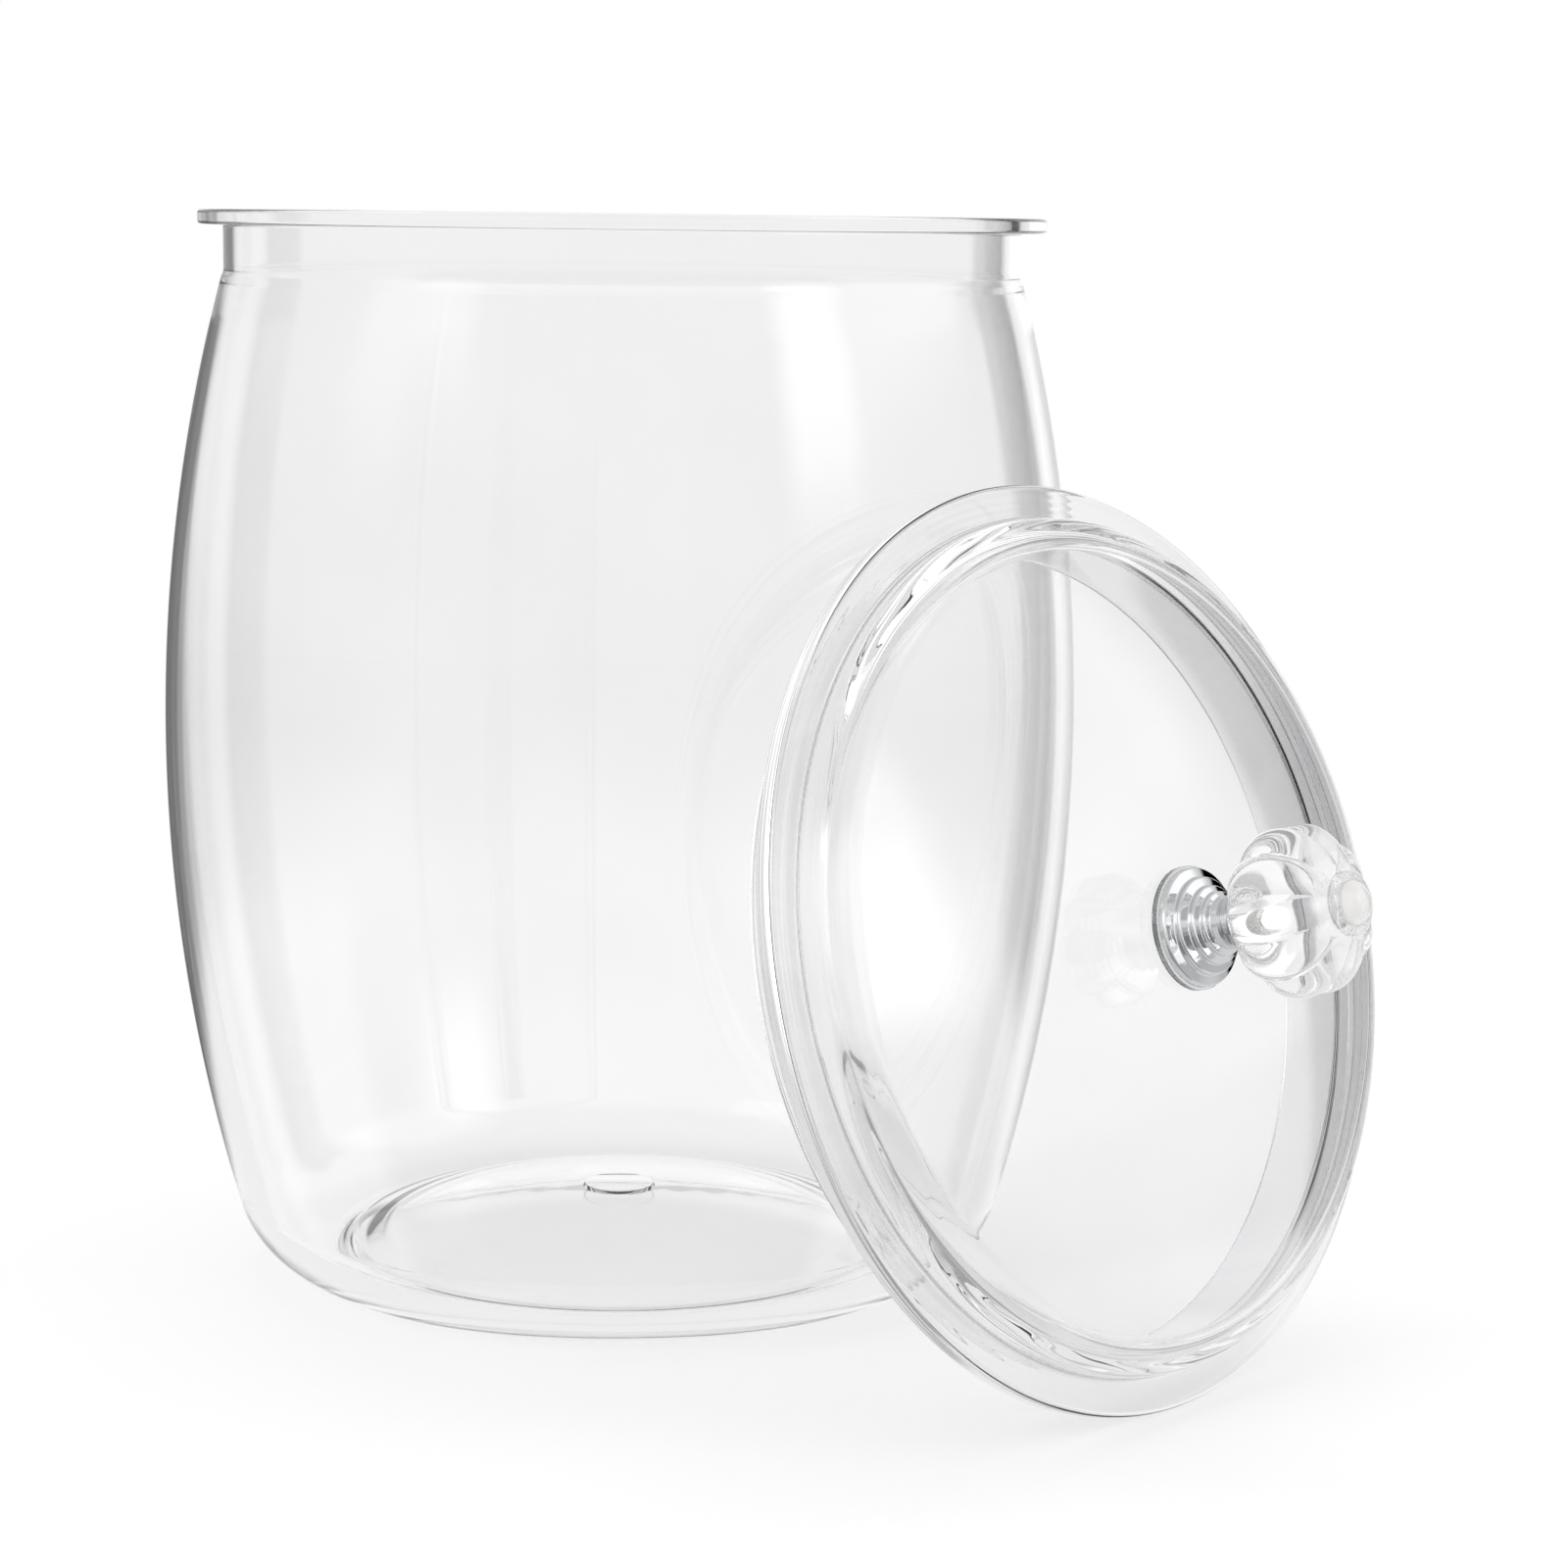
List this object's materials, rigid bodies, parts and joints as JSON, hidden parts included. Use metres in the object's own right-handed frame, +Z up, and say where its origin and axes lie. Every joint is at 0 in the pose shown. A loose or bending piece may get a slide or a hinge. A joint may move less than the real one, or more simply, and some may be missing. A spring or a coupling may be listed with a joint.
{
  "type": "candy jar",
  "caption": "Clear barrel-shaped jar with a flat rim and a loose domed lid that leans on its side, lifted by a fluted clear knob on a chrome base.",
  "frame": {"origin": "middle of the jar's foot, on the surface it stands on, on the jar's axis", "axes": "+Z up along the jar's axis, +X the way the lid leans out from the jar"},
  "size_m": [0.2782, 0.1872, 0.2185],
  "materials": {
    "jar_plastic": "clear, polished moulding",
    "lid_plastic": "clear, polished moulding",
    "crystal_plastic": "clear cast, fire-polished look",
    "milky_plastic": "milky, satin",
    "soft_washer": "clear, soft",
    "chrome": "polished plating",
    "insert_nickel": "turned, nickel plated, threaded inside",
    "zinc_steel": "zinc plated"
  },
  "bodies": {
    "jar": {"jar_body": "jar_plastic"},
    "lid": {"lid_shell": "lid_plastic", "knob_gasket": "soft_washer", "screw_washer": "zinc_steel"},
    "knob": {"knob_base": "chrome", "knob_head": "crystal_plastic", "knob_insert": "insert_nickel", "knob_collar": "crystal_plastic", "knob_button": "milky_plastic", "knob_screw": "zinc_steel"}
  },
  "joints": [
    {"name": "lid_lift", "type": "slide", "parent": "jar", "child": "lid", "axis": [0, 0, 1], "range_m": [0, 0.25]},
    {"name": "knob_turn", "type": "hinge", "parent": "lid", "child": "knob", "pos_m": [0.12251, 0, 0.08425], "axis": [0.965, 0, 0.2622], "continuous": true}
  ]
}
